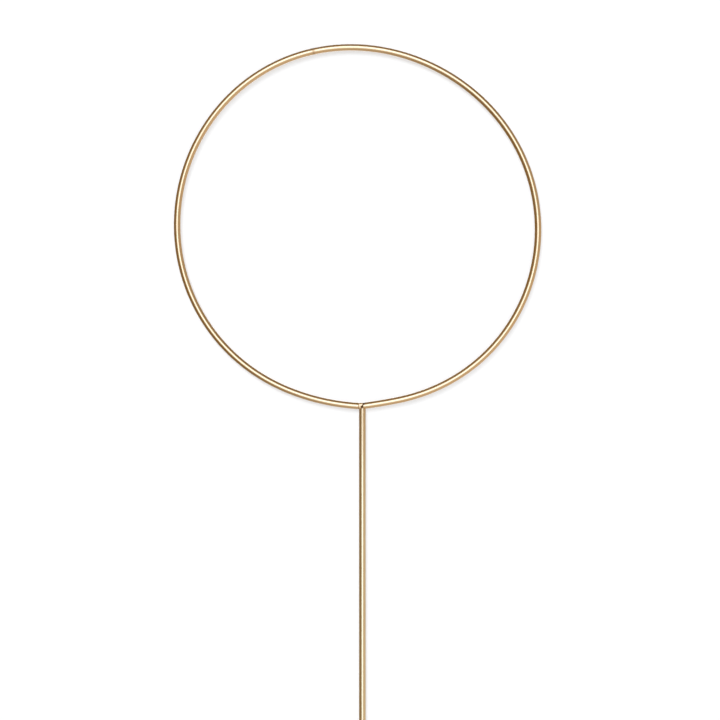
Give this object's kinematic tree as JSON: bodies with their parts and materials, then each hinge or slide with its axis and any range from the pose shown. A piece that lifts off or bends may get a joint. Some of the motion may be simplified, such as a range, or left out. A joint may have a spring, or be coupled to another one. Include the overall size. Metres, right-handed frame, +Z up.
{
  "type": "wreath frame on stake",
  "caption": "Wire hoop welded on top of a straight round stake, gold finish, for tying a small wreath or flowers to and pushing into soil or floral foam.",
  "frame": {"origin": "centre of the flat cut lower end of the stake", "axes": "+Z up along the stake towards the hoop, hoop in the XZ plane, Y across the hoop through its opening"},
  "size_m": [0.2003, 0.0038, 0.4993],
  "materials": {
    "gold_wire": "satin gold-finished drawn steel wire",
    "gold_rod": "satin gold-finished drawn steel rod",
    "gold_weld": "dull gold finish over a smooth weld"
  },
  "bodies": {
    "root": {"hoop_wire": "gold_wire", "stake_rod": "gold_rod", "weld_bead": "gold_weld"}
  },
  "joints": []
}
